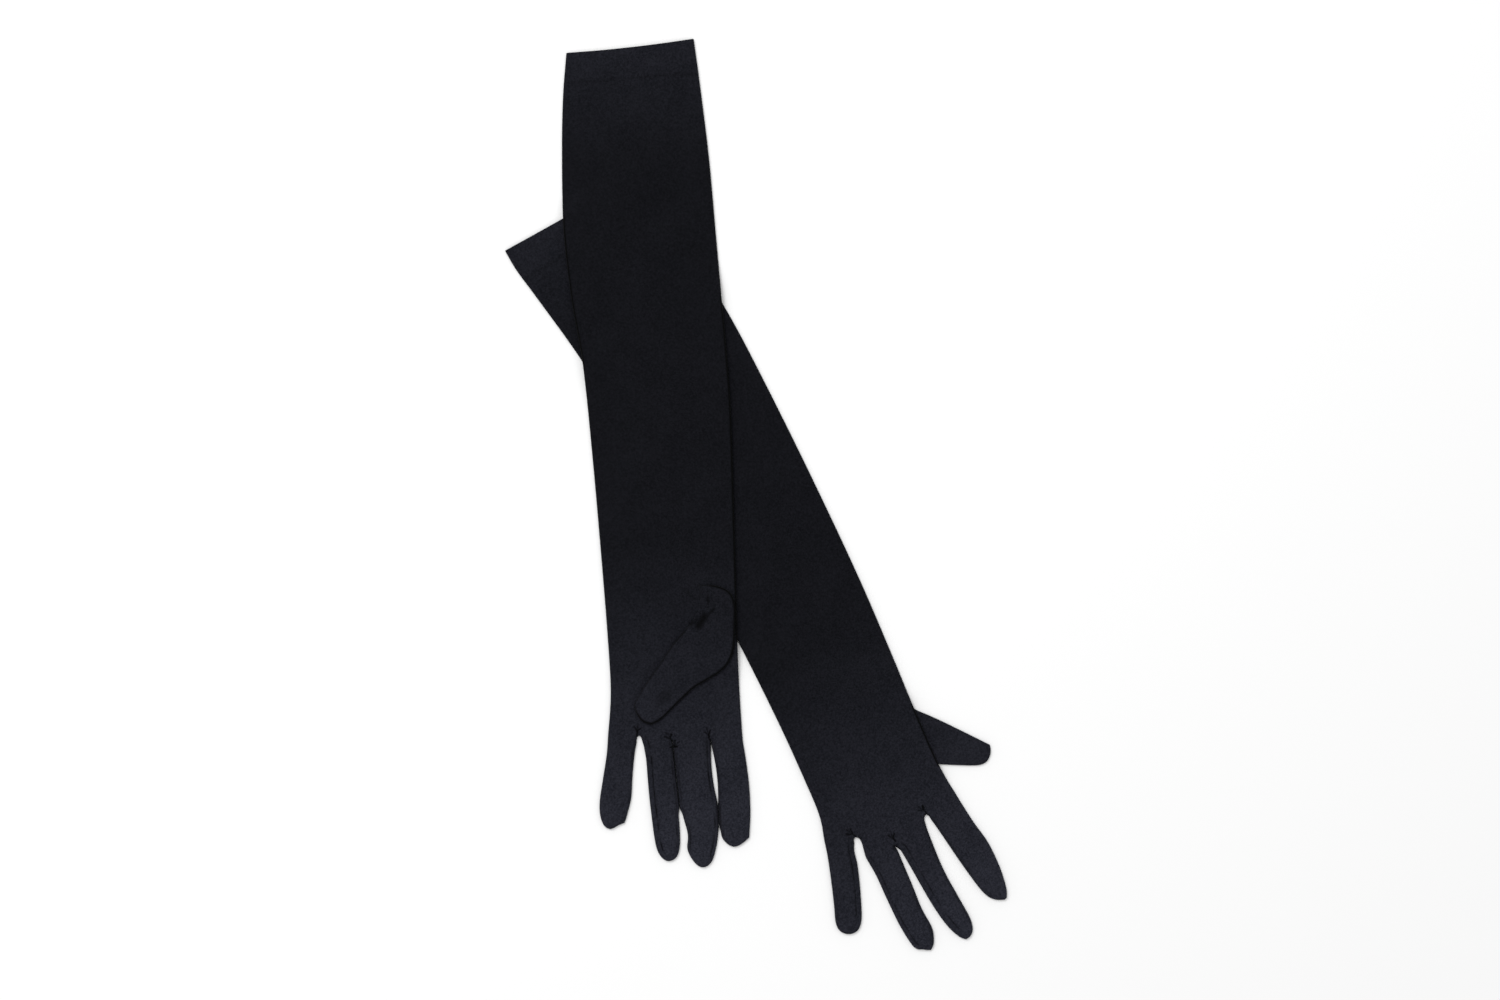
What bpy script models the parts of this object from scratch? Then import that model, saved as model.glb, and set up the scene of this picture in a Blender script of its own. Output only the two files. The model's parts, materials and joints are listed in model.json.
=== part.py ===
"""A pair of long opera gloves lying flat and crossed: the left glove, palm up, on top of the right one.

Each glove is drawn in its own frame, in millimetres: u runs across it towards the thumb, v runs from the
middle of its cuff towards the fingertips. Every piece of cloth is a flat plate cut from that drawing.
"""

import math

import bmesh
import bpy
from mathutils import Matrix, Vector

MM = 0.001
CLOTH = 0.6  # thickness of one layer of cloth
LIE_FLAT = 3.2  # thickness of a whole glove, lying flat
CLEAR = 0.4  # gap between neighbouring pieces
HEM_DEPTH = 22.0
HEM_CLOTH = 0.5
SEAM_WIDTH = 4.0  # cloth turned in along the little-finger side
FOLD_WIDTH = 2.6  # where the cloth turns round on the index side
STRIP_BOTTOM, STRIP_TOP = 0.9, 2.3  # what lies between the two layers
FOURCHETTE_WIDTH = 4.2
THUMB_HEIGHT = 2.2
STEP = 9.0  # longest straight piece along an edge
TIP_STEP = 4.5  # the same round a fingertip

# Left glove, as it lies on the right one.
LEFT_CUFF = Vector((-85.7, 305.0))
LEFT_TURN = math.radians(4.2)
LEFT_BOTTOM = LIE_FLAT + 0.3
LEFT_ELBOW, LEFT_WRIST = 130.0, 352.0
LEFT_CUFF_ARCH = 4.0  # how far the cuff edge bows inwards
LEFT_SEAM_EDGE = [(-43.5, 1.7), (-48, 32), (-51.5, 70), (-54, 120), (-52, 170), (-47.8, 212), (-46, 270),
                  (-45, 333), (-44.5, 400), (-45.2, 437), (-48.6, 463.2)]
LEFT_FOLD_EDGE = [(43.5, -1.6), (45.5, 29.5), (48, 81), (49, 142.5), (50.3, 212), (50, 258), (46.5, 340),
                  (43, 415), (42, 452.5), (42, 477.3)]
LEFT_ROOTS = [(-48.6, 463.2), (-28.1, 467.7), (-26.2, 472.3), (-5.2, 472.3), (-4.9, 473.8), (20.2, 473.8),
              (20.6, 477.6), (42, 477.3)]
LEFT_LITTLE = [[(-48.8, 463.7), (-51, 479), (-55, 496.5), (-58, 510), (-58.5, 519.5), (-56.5, 527), (-52, 530),
                (-46, 527.5), (-42.5, 526.5), (-40, 520.5), (-36.5, 509.5), (-34.5, 494.5), (-31.5, 477.5),
                (-28.3, 468.2)]]
LEFT_RING = [[(-26, 472.7), (-24.6, 483.5), (-24.4, 500), (-24, 517), (-22.5, 541), (-20, 550), (-15, 554.5),
              (-9, 552.5), (-6, 545), (-5.2, 533), (-5.4, 517), (-5.8, 495), (-5.8, 472.7)]]
LEFT_MIDDLE = [[(-4.7, 474.2), (-4.5, 490), (-4.2, 510.5), (-2.5, 524), (0, 537.5), (-1, 547.5), (3, 556.5),
                (8.5, 560.5), (14.5, 557.5), (18.5, 548), (20.8, 536), (21.2, 515.5), (20.7, 498.5), (20, 474.2)]]
LEFT_INDEX = [[(21.3, 478), (21.8, 488.5), (22.4, 507), (22.4, 535), (24, 543), (30, 548), (36, 546.5), (41.5, 542.5)],
              [(41.5, 542.5), (43.5, 525.5), (44, 507), (43, 488.5), (42, 477.8)]]
LEFT_THUMB = [[(20, 369), (31, 370), (40, 374.5), (43.4, 383), (42.5, 398), (40, 415), (33.5, 426), (23, 432.5),
               (12, 438), (0, 447.5), (-10.5, 456.5), (-19, 461), (-25, 458.5), (-29, 452), (-30, 446.5)],
              [(-30, 446.5), (-21.5, 434), (-11, 421), (0, 407), (9.5, 397.5), (17, 388), (20, 378), (20, 369)]]
LEFT_HOLE = {"centre": (29.5, 396), "across": 8.5, "along": 20.5, "turn": 0.0}

# Right glove, on the table.
RIGHT_CUFF = Vector((-132.6, 188.0))
RIGHT_TURN = math.radians(31.0)
RIGHT_BOTTOM = 0.0
RIGHT_WRIST = 347.0
RIGHT_CUFF_ARCH = 1.0
RIGHT_SEAM_EDGE = [(-44, -0.5), (-44.2, 15), (-42, 38), (-37.8, 90), (-37.5, 147), (-40.5, 209), (-43, 263),
                   (-45.5, 315), (-50, 371), (-54.5, 410.5), (-58.5, 438), (-64.5, 455)]
RIGHT_FOLD_EDGE = [(43.5, 2), (49.5, 17), (58, 50), (63.5, 86), (64, 120), (61, 170), (55.5, 237), (48, 311),
                   (40, 370), (34, 410), (28.8, 451), (28.5, 479.1)]
RIGHT_ROOTS = [(-64.5, 455), (-45.2, 463.5), (-46.2, 480.3), (-24.4, 482.2), (-23.2, 482.5), (-0.4, 483.5),
               (4, 475.3), (5, 480.4), (28.5, 479.1)]
RIGHT_LITTLE = [[(-64.7, 455.5), (-68, 465), (-74.5, 480.5), (-81.5, 496), (-86.5, 506.5), (-87, 513), (-83, 518),
                 (-76.5, 519), (-70.5, 514), (-64, 502.5), (-58.5, 491.5), (-53, 479), (-50.5, 471), (-45.7, 464)]]
RIGHT_RING = [[(-46.3, 480.8), (-46.5, 493.5), (-48.5, 511), (-50.3, 532), (-49.5, 548.5), (-45.5, 552.5),
               (-40.5, 556), (-37, 553.5), (-32.3, 544), (-31.5, 528.5), (-29, 513), (-27, 499), (-24.6, 482.8)]]
RIGHT_MIDDLE = [[(-23.2, 483.1), (-23.5, 501.5), (-24, 528), (-23, 545), (-20.5, 555.5), (-16.5, 562),
                 (-11.5, 561), (-8.5, 557.5), (-6.5, 550), (-6, 535), (-5.5, 518.5), (-4, 504.5), (-0.6, 484.1)]]
RIGHT_INDEX = [[(5.2, 481), (6, 492), (7, 511), (8.5, 530), (10, 540.5), (13, 547.5), (20, 552.5),
                (23.5, 549.5), (26.5, 541), (29, 528.5), (30.3, 512.5), (29, 496.5), (28.5, 479.7)]]
RIGHT_THUMB = [[(35.2, 411.5), (43.5, 423), (54, 439), (65.5, 457)],
               [(65.5, 457), (63.5, 461.5), (58.5, 465.5), (52, 465), (41, 458.5), (30.1, 451.2)]]
RIGHT_HOLE = {"centre": (31.2, 428.5), "across": 19.0, "along": 24.0, "turn": math.radians(7.1)}

BLACK = (0.011, 0.0115, 0.0145, 1.0)
INNER_BLACK = (0.016, 0.0165, 0.02, 1.0)
LOOKS = {
    "left_cloth": (BLACK, 0.72),
    "right_cloth": (BLACK, 0.72),
    "fourchette_cloth": (BLACK, 0.78),
    "turned_cloth": (INNER_BLACK, 0.85),
}


def clear_scene():
    for obj in list(bpy.data.objects):
        bpy.data.objects.remove(obj)


def material(name):
    """The named cloth, made the first time it is asked for."""
    made = bpy.data.materials.get(name)
    if made is None:
        colour, roughness = LOOKS[name]
        made = bpy.data.materials.new(name)
        made.use_nodes = True
        shader = made.node_tree.nodes["Principled BSDF"]
        shader.inputs["Base Color"].default_value = colour
        shader.inputs["Roughness"].default_value = roughness
        shader.inputs["Metallic"].default_value = 0.0
        made.diffuse_color = colour
    return made


def through(points, step):
    """A smooth curve through the points, as short straight pieces no longer than step."""
    ends = [Vector(point) for point in points]
    padded = [2 * ends[0] - ends[1]] + ends + [2 * ends[-1] - ends[-2]]
    curve = [ends[0]]
    for before, start, end, after in zip(padded, padded[1:], padded[2:], padded[3:]):
        pieces = max(1, math.ceil((end - start).length / step))
        for number in range(1, pieces + 1):
            t = number / pieces
            leaving = (end - before) / 2
            arriving = (after - start) / 2
            point = (2 * t**3 - 3 * t**2 + 1) * start + (t**3 - 2 * t**2 + t) * leaving
            point = point + (3 * t**2 - 2 * t**3) * end + (t**3 - t**2) * arriving
            curve.append(point)
    return curve


def edge_between(edge, v_start, v_end):
    """The stretch of a glove's long edge from v_start to v_end."""
    curve = through(edge, STEP)

    def at(v):
        for low, high in zip(curve, curve[1:]):
            if low.y <= v <= high.y:
                return low.lerp(high, (v - low.y) / (high.y - low.y))
        return curve[0] if v < curve[0].y else curve[-1]

    start, end = at(v_start), at(v_end)
    return [start] + [point for point in curve if start.y + 2 < point.y < end.y - 2] + [end]


def shifted(points, across):
    return [point + Vector((across, 0)) for point in points]


def ellipse(hole, grow, start, end, steps):
    """Part of a thumb hole's rim, from one angle to another, grown outwards by grow."""
    centre = Vector(hole["centre"])
    turn = Matrix.Rotation(hole["turn"], 2)
    rim = []
    for number in range(steps + 1):
        angle = start + (end - start) * number / steps
        reach = Vector(((hole["across"] + grow) * math.cos(angle), (hole["along"] + grow) * math.sin(angle)))
        rim.append(centre + turn @ reach)
    return rim


class Glove:
    """One glove's drawing, its place on the table and the height of its lower face."""

    def __init__(self, side, cuff, turn, bottom, seam_edge, fold_edge):
        self.side = side
        self.cuff = cuff
        self.turn = turn
        self.bottom = bottom
        self.seam_edge = seam_edge
        self.fold_edge = fold_edge
        self.palm_up = side == "left"

    def layer(self, face):
        """Bottom of the palm or back layer, above the glove's lower face."""
        on_top = (face == "palm") == self.palm_up
        return LIE_FLAT - CLOTH if on_top else 0.0

    def to_world(self, point, height):
        across = Vector((math.cos(self.turn), math.sin(self.turn)))
        along = Vector((math.sin(self.turn), -math.cos(self.turn)))
        place = self.cuff + point.x * across + point.y * along
        return Vector((place.x, place.y, self.bottom + height)) * MM

    def plate(self, name, outline, low, high, look, hole=()):
        """A flat piece of cloth, cut to the outline, with its origin at the outline's first point."""
        mesh = bpy.data.meshes.new(name)
        shape = bmesh.new()
        origin = self.to_world(outline[0], low)
        edges = []
        for ring in filter(None, (outline, hole)):
            corners = [shape.verts.new(self.to_world(point, low) - origin) for point in ring]
            edges += [shape.edges.new(pair) for pair in zip(corners, corners[1:] + corners[:1])]
        bmesh.ops.triangle_fill(shape, use_beauty=True, use_dissolve=False, edges=edges)
        raised = bmesh.ops.extrude_face_region(shape, geom=list(shape.faces))["geom"]
        top = [item for item in raised if isinstance(item, bmesh.types.BMVert)]
        bmesh.ops.translate(shape, verts=top, vec=Vector((0, 0, (high - low) * MM)))
        bmesh.ops.recalc_face_normals(shape, faces=list(shape.faces))
        shape.to_mesh(mesh)
        shape.free()
        mesh.materials.append(material(look))
        obj = bpy.data.objects.new(f"{self.side}_{name}", mesh)
        obj.location = origin
        bpy.context.scene.collection.objects.link(obj)
        return obj

    def layer_plate(self, name, face, outline, hole=()):
        low = self.layer(face)
        self.plate(f"{name}_{face}", outline, low, low + CLOTH, f"{self.side}_cloth", hole)


def band(glove, v_start, v_end, inset=0.0):
    """Outline of the sleeve from v_start to v_end, square across at both ends."""
    seam = shifted(edge_between(glove.seam_edge, v_start, v_end), inset)
    fold = shifted(edge_between(glove.fold_edge, v_start, v_end), -inset)
    return seam + fold[::-1]


def cuff_band(glove, v_end, arch_depth):
    """The same from the cuff, whose edge arches a little, to v_end."""
    outline = band(glove, -10, v_end)
    seam_corner, fold_corner = outline[0], outline[-1]
    arch = [fold_corner.lerp(seam_corner, part) + Vector((0, arch_depth * part * (1 - part))) for part in (0.3, 0.7)]
    return outline + arch


def side_strips(glove, name, v_start, v_end, fold_end):
    """The seam allowance on the little-finger side, and the turn of the cloth on the index side."""
    seam = edge_between(glove.seam_edge, v_start + CLEAR, v_end - CLEAR)
    fold = edge_between(glove.fold_edge, v_start + CLEAR, fold_end - CLEAR)
    glove.plate(f"{name}_seam", seam + shifted(seam, SEAM_WIDTH)[::-1], STRIP_BOTTOM, STRIP_TOP, "turned_cloth")
    glove.plate(f"{name}_fold", shifted(fold, -FOLD_WIDTH) + fold[::-1], STRIP_BOTTOM, STRIP_TOP, f"{glove.side}_cloth")


def hem(glove):
    """The hem, turned up inside the cuff against each layer."""
    outline = band(glove, CLEAR + 1.5, HEM_DEPTH, inset=1.2)
    lower, upper = ("back", "palm") if glove.palm_up else ("palm", "back")
    glove.plate(f"hem_{lower}", outline, STRIP_BOTTOM, STRIP_BOTTOM + HEM_CLOTH, "turned_cloth")
    glove.plate(f"hem_{upper}", outline, STRIP_TOP - HEM_CLOTH, STRIP_TOP, "turned_cloth")


def sleeve(glove, name, v_start, v_end, arch_depth=0.0):
    outline = band(glove, v_start + CLEAR, v_end) if v_start else cuff_band(glove, v_end, arch_depth)
    for face in ("palm", "back"):
        glove.layer_plate(name, face, outline)
    strips_start = v_start if v_start else HEM_DEPTH
    side_strips(glove, name, strips_start, v_end, v_end)


def hand_outline(glove, wrist, roots, notch=None):
    """The hand between the wrist and the finger roots. A notch is cut where the thumb hole meets the edge."""
    v_start = wrist + CLEAR
    seam = edge_between(glove.seam_edge, v_start, roots[0][1])[:-1]
    ends = [Vector(point) for point in roots]
    if notch is None:
        return seam + ends + edge_between(glove.fold_edge, v_start, roots[-1][1])[-2::-1]
    rim = ellipse(notch, CLEAR, math.pi / 2, 3 * math.pi / 2, 10)
    beyond = edge_between(glove.fold_edge, rim[0].y, roots[-1][1])[-2::-1]
    before = edge_between(glove.fold_edge, v_start, rim[-1].y)[::-1]
    return seam + ends + beyond + rim[1:-1] + before


def finger(glove, name, runs, strips):
    """A finger's two layers, and the fourchette folded between them on each side named in strips."""
    outline = []
    for run in runs:
        outline += through(run, TIP_STEP)[: -1 if run is not runs[-1] else None]
    for face in ("palm", "back"):
        glove.layer_plate(name, face, outline)
    tip = max(range(len(outline)), key=lambda number: outline[number].y)
    sides = {"outer": (outline[:tip], 1), "inner": (outline[tip + 1 :][::-1], -1)}
    reach = outline[0].y + 0.82 * (outline[tip].y - outline[0].y)
    for side in strips:
        points, inwards = sides[side]
        points = [point for point in points if point.y < reach]
        inside = []
        for number, point in enumerate(points):
            narrowing = 1 - 0.6 * number / (len(points) - 1)
            inside.append(point + Vector((inwards * FOURCHETTE_WIDTH * narrowing, 0)))
        glove.plate(f"{name}_fourchette_{side}", points + inside[::-1], STRIP_BOTTOM, STRIP_TOP, "fourchette_cloth")


def fingers(glove, little, ring, middle, index):
    finger(glove, "little", little, ("inner",))
    finger(glove, "ring", ring, ("outer", "inner"))
    finger(glove, "middle", middle, ("outer", "inner"))
    finger(glove, "index", index, ("outer",))


def left_glove():
    glove = Glove("left", LEFT_CUFF, LEFT_TURN, LEFT_BOTTOM, LEFT_SEAM_EDGE, LEFT_FOLD_EDGE)
    sleeve(glove, "upper", 0, LEFT_ELBOW, LEFT_CUFF_ARCH)
    hem(glove)
    sleeve(glove, "forearm", LEFT_ELBOW, LEFT_WRIST)
    outline = hand_outline(glove, LEFT_WRIST, LEFT_ROOTS)
    rim = ellipse(LEFT_HOLE, CLEAR, 0, 2 * math.pi, 24)[:-1]
    glove.layer_plate("hand", "palm", outline, hole=rim)
    glove.layer_plate("hand", "back", outline)
    side_strips(glove, "hand", LEFT_WRIST, LEFT_ROOTS[0][1], LEFT_ROOTS[-1][1])
    root = ellipse(LEFT_HOLE, 0, 0, 2 * math.pi, 24)[:-1]
    glove.plate("thumb_root", root, STRIP_BOTTOM, LIE_FLAT, "left_cloth")
    fingers(glove, LEFT_LITTLE, LEFT_RING, LEFT_MIDDLE, LEFT_INDEX)
    thumb = through(LEFT_THUMB[0], STEP)[:-1] + through(LEFT_THUMB[1], STEP)[:-1]
    low = LIE_FLAT + 0.3
    glove.plate("thumb_under", thumb, low, low + CLOTH, "left_cloth")
    glove.plate("thumb_top", thumb, low + THUMB_HEIGHT - CLOTH, low + THUMB_HEIGHT, "left_cloth")


def right_glove():
    glove = Glove("right", RIGHT_CUFF, RIGHT_TURN, RIGHT_BOTTOM, RIGHT_SEAM_EDGE, RIGHT_FOLD_EDGE)
    sleeve(glove, "sleeve", 0, RIGHT_WRIST, RIGHT_CUFF_ARCH)
    hem(glove)
    glove.layer_plate("hand", "palm", hand_outline(glove, RIGHT_WRIST, RIGHT_ROOTS, RIGHT_HOLE))
    glove.layer_plate("hand", "back", hand_outline(glove, RIGHT_WRIST, RIGHT_ROOTS))
    hole_start = RIGHT_HOLE["centre"][1] - RIGHT_HOLE["along"]
    side_strips(glove, "hand", RIGHT_WRIST, RIGHT_ROOTS[0][1], hole_start)
    root = ellipse(RIGHT_HOLE, 0, math.pi / 2, 3 * math.pi / 2, 10)
    glove.plate("thumb_root", root, 0, THUMB_HEIGHT, "right_cloth")
    fingers(glove, RIGHT_LITTLE, RIGHT_RING, RIGHT_MIDDLE, RIGHT_INDEX)
    thumb = through(RIGHT_THUMB[0], STEP)[:-1] + through(RIGHT_THUMB[1], TIP_STEP)
    glove.plate("thumb_under", thumb, 0, CLOTH, "right_cloth")
    glove.plate("thumb_top", thumb, THUMB_HEIGHT - CLOTH, THUMB_HEIGHT, "right_cloth")


def centre_on_table():
    """Puts the middle of the pair's footprint at the origin."""
    bpy.context.view_layer.update()
    corners = [obj.matrix_world @ Vector(corner) for obj in bpy.data.objects for corner in obj.bound_box]
    low = Vector((min(corner.x for corner in corners), min(corner.y for corner in corners), 0))
    high = Vector((max(corner.x for corner in corners), max(corner.y for corner in corners), 0))
    for obj in bpy.data.objects:
        obj.matrix_world = Matrix.Translation(-(low + high) / 2) @ obj.matrix_world


clear_scene()
right_glove()
left_glove()
centre_on_table()
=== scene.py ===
"""Looks for the pair of opera gloves: the cloth of each glove is grown from the outlines of its CAD panels.

Outlines, distances and heights are in millimetres, and a mesh is scaled to metres when it is made.
Each glove has its own flat coordinates: u across it towards the thumb, v from its cuff to its fingertips.
"""

import copy
import json
import math

import bpy
import numpy as np
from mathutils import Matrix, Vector, noise
from mathutils.geometry import delaunay_2d_cdt
from mathutils.kdtree import KDTree

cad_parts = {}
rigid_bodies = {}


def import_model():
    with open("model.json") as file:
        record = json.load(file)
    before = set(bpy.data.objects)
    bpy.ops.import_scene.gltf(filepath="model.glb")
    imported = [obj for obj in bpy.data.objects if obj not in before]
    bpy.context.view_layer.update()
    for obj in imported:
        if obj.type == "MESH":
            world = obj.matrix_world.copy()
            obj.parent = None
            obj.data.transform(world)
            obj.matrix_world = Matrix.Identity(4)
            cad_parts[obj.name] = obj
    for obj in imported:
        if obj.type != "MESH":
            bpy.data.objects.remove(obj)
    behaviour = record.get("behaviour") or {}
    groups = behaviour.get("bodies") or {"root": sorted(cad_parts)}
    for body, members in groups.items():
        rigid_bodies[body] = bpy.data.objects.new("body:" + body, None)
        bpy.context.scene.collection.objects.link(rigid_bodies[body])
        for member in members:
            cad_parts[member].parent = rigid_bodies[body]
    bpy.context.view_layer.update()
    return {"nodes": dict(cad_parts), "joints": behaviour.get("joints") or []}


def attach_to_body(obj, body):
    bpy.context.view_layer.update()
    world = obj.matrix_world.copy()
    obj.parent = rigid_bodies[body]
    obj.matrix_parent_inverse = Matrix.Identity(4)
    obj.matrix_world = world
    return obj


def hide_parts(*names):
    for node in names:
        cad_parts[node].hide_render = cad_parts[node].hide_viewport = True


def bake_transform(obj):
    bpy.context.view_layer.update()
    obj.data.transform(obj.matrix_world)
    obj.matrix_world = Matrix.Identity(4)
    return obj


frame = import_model()

MM = 0.001
FINGERS = ("little", "ring", "middle", "index")

# Cloth, in millimetres.
CLOTH_THICK = 0.65
EDGE_HALF = 1.05  # half the thickness of a flat glove near its edge
EDGE_ROUND = 1.3  # how far in from an edge the cloth has turned flat
FINGER_PUFF, FINGER_PUFF_IN = 0.75, 7.0  # height, and how far in from the edge it is reached
SLEEVE_PUFF, SLEEVE_PUFF_IN = 0.35, 16.0
PUFF_BEHIND, PUFF_OVER = 25.0, 30.0  # the sleeve's puff turns into the fingers' from behind their roots
WAVES = ((0.3, 46, 3.1), (0.12, 15, 7.7))  # height, size and seed of what is uneven all over
CALM_EDGE = 2.0  # relief fades out this near to an edge
TABLE_GAP = 0.15
HEM_DEPTH = 22.0
GLOVE_LENGTH = 560.0
# The hem's stitch line: its depth also sets painted shade.
STITCH_DEPTH, STITCH_WIDTH = 0.14, 1.1
PAINTED_SHADE_DEPTH = 0.55  # depth of relief at which the painted shade in a crease, seam or rim is darkest
RIM_SINK_AND_SHADOW = 0.75  # how deep an edge is sunk where it lies on another layer; the same depth sets the painted shadow along it
RIM_IN, RIM_WIDTH = 0.3, 0.8  # how far in from the edge that is, and how wide
RIM_FADES = 2.0  # how far outside what it lies on it ends
THUMB_RIM_PAINTED_SHADOW = 1.15  # how dark the painted shadow along the edge of the folded thumb is, as a depth of relief
THUMB_PRESS, PRESS_WIDTH = 0.45, 0.9  # how far the edge of the folded thumb sinks into the palm
CLOSED_GAP = 1.8  # fingers nearer than this touch
CLOSING_FADES = 0.5
CLOSED_SHARE = 0.48  # how much of the gap each of the two fingers takes up
HAIR = 0.03  # half of the gap where cloth touches cloth
SLIT_FADES = 6.0
TOUCHING = (("ring_inner", "middle_outer"), ("middle_inner", "index_outer"))
TOUCH_GROOVE_AND_SHADE, TOUCH_WIDTH = 0.5, 1.9  # the groove between them, and its painted dark line of shade
SIDE_STRIP = 1.3  # width of the rounded strip along a sleeve's sides
RINGS = (0.3, 0.75, 1.3, 1.9, 2.5, 3.1, 3.7, 4.4, 5.4)  # rows of points parallel to an edge
LOWER_RINGS = (0.6, 1.3, 2.5, 3.7, 4.4)  # the same in the layer that lies underneath
THUMB_RINGS = RINGS[:6]

# Grids of points inside the rows: from v, to v, and the step, which is finer along the hem's stitches.
GRIDS = ((-9, 18, 2.9), (18, 26, 0.9), (26, 372, 2.9), (372, 440, 1.9), (440, 580, 1.35))
LOWER_STEP = 4.5
ROW_APART = 0.92  # a row's points keep this share of its distance from every edge
GRID_APART = 0.6  # a grid begins this share of its step inside the last row
PATCH_HOLE, PATCH_RADIUS, PATCH_STEP = 8.0, 7.7, 0.55  # the finest grid, round each gather
PATCH_EDGE = 0.4

# Outlines.
LEVEL = 0.9  # least upward part of the normal of a face on top of a panel
TOP_WITHIN = 0.05
BATCH = 2000  # points measured at a time
TINY = 1e-9
PANEL_GAP = 1.2  # panels nearer than this are joined
SAME_CORNER, SAME_POINT = 1e-4, 1e-5  # points nearer than this are one, in panels and in cloth
SHORTEST, THUMB_SHORTEST = 0.8, 0.95  # shorter edges of an outline become a point
OUTLINE_STEP = 1.1
CORNER_TURNS = (36, 115)  # degrees of turn that make a corner sharp
DENSE_STEP = 0.25
ON_LINE = 0.01  # a point nearer than this to a line is on it
ON_CUFF, NEAR_CUFF = 0.2, 3.0  # an edge is on the cuff within this of its line, and up to this v

# How the cloth lies over what is under it.
LEFT_LIFT = 3.4  # the left glove's underside on top of the right glove
LEFT_RAMP = 15.0
THUMB_LIFT = 2.15  # the right hand on top of its own thumb
THUMB_RAMP = 13.0

# Moving parts: how far behind its hinge a section begins, and the reach each bend is given.
HINGE_MARGIN = 1.5
FINGER_REACH = 12.0
WRIST_REACH = 16.0
THUMB_REACH = 10.0

# Thumbs.
ROOT_LENGTH = 9.0  # how far the right thumb reaches in under the palm
RIGHT_THUMB_HALF, RIGHT_THUMB_ROUND, RIGHT_THUMB_STEP = 0.85, 1.2, 1.6
RIGHT_THUMB_PUFF, RIGHT_THUMB_PUFF_IN = 0.5, 6.0
RIGHT_THUMB_FREE = 8.0  # how far out from under the palm it is full
RIGHT_THUMB_WAVE = (0.12, 13, 9.2)
LEFT_THUMB_HALF, LEFT_THUMB_ROUND, LEFT_THUMB_STEP = 1.0, 1.5, 0.9
LEFT_THUMB_PUFF, LEFT_THUMB_PUFF_IN = 1.1, 9.0
LEFT_THUMB_LIFT = 0.55
LEFT_THUMB_WAVE = (0.25, 17, 5.5)
CALM_THUMB_EDGE = 3.0
THUMB_GROWS = (16.0, 384.0)  # (u, v) where the left thumb grows out of the palm
THUMB_THIN = 0.08  # its fullness there
THUMB_FILLS, THUMB_FULL_OVER = 8.0, 11.0  # distance where it begins to fill, and over which it does
THUMB_OUTER = (0.82, 0.57)  # in (u, v), the way to the thumb's outer side, where the painted shadow along its rim is darkest
OUTER_BEHIND, OUTER_OVER = 2.0, 10.0
# Painted shadow along the thumb's rim: its share and width on the inner side, and how much wider it is on
# the outer side.
INNER_RIM, INNER_RIM_WIDTH, OUTER_RIM_WIDER = 0.35, 0.7, 0.4

# The gusset at the left thumb's root.
GUSSET_STEP, GUSSET_ROUND = 1.3, 1.0
GUSSET_ABOVE, GUSSET_BELOW = 0.12, 0.25
GUSSET_SEAM, GUSSET_SEAM_IN, GUSSET_SEAM_WIDTH = 0.25, 1.2, 0.8

# How far in from a finger's side the seam of its side strip shows, and how deep it is; the depth also sets
# painted shade in the seam.
GROOVES = {
    "left": {
        "little_inner": (1.3, 0.3),
        "ring_outer": (3.7, 0.65),
        "ring_inner": (1.9, 0.35),
        "middle_outer": (1.9, 0.35),
        "middle_inner": (2.5, 0.55),
        "index_outer": (1.3, 0.3),
    },
    "right": {
        "little_inner": (3.7, 0.5),
        "ring_outer": (3.1, 0.4),
        "ring_inner": (1.3, 0.3),
        "middle_outer": (4.4, 0.4),
        "middle_inner": (1.3, 0.3),
        "index_outer": (1.3, 0.3),
    },
}
GROOVE_WIDTH = 0.55
GROOVE_LIP, GROOVE_LIP_AWAY = 0.5, 2.0  # the raised lip on its outer side
GROOVE_FROM_TIP, GROOVE_BEHIND, GROOVE_FADES = 5.0, 4.0, 6.0  # where a groove ends at a tip and a root
GROOVE_SHARES = (0.6, 0.15)  # a groove's usual and least share of its depth

# Narrow slits between fingers: the sides, the root and the end in (u, v), and the width half way.
SLITS = {
    "left": (
        ("ring_inner", "middle_outer", (-6.0, 472.0), (-4.3, 518.0), 0.0),
        ("middle_inner", "index_outer", (20.2, 477.0), (22.0, 519.0), 3.0),
    ),
    "right": (("ring_inner", "middle_outer", (-25.2, 479.0), (-25.1, 481.5), 0.0),),
}

# Gathers where the fingers part: (u, v) and the turn of the creases, which get painted shade.
PUCKERS = {
    "left": (((-29.0, 465.0), 12), ((-6.8, 471.5), -25), ((-5.4, 476.5), 70), ((19.0, 471.0), 0)),
    "right": (((-45.4, 460.0), -20), ((-23.0, 476.5), 8), ((4.2, 471.5), -14)),
}

# One gather's creases: turn from straight up the hand, start and end, depth and width. The depth also sets
# painted shade.
PUCKER_CREASES = (
    (-44, 0.9, 3.9, 0.5, 0.6),
    (-6, 1.6, 5.2, 0.35, 0.55),
    (32, 0.2, 3.1, 0.65, 0.7),
    (176, 0.0, 2.8, 0.6, 0.6),
)
PUCKER_WARP, PUCKER_WARP_SIZE = 0.9, 2.4  # how crooked the creases are
LIP_HEIGHT, LIP_AWAY = 0.4, 1.9  # a crease's raised lips, as shares of its depth and width
CREASE_COUNTS = -0.05  # a crease deeper than this is not filled by the lips of others

# Soft creases in the cloth: start, end, depth and width.
FOLDS = {
    "left": (
        ((-3.4, 464.0), (8.6, 458.0), 0.45, 2.4),
        ((-39.7, 402.0), (-33.8, 433.0), 0.45, 3.0),
        ((30.0, 506.0), (44.0, 502.0), 0.3, 2.6),
        ((7.0, 370.0), (13.0, 376.0), 0.5, 1.5),
    ),
    "right": (
        ((-39.5, 388.0), (-26.6, 406.0), 0.5, 3.2),
        ((-54.0, 425.0), (-47.6, 437.0), 0.35, 2.6),
        ((14.0, 452.0), (29.0, 466.0), 0.35, 5.0),
    ),
}
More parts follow.
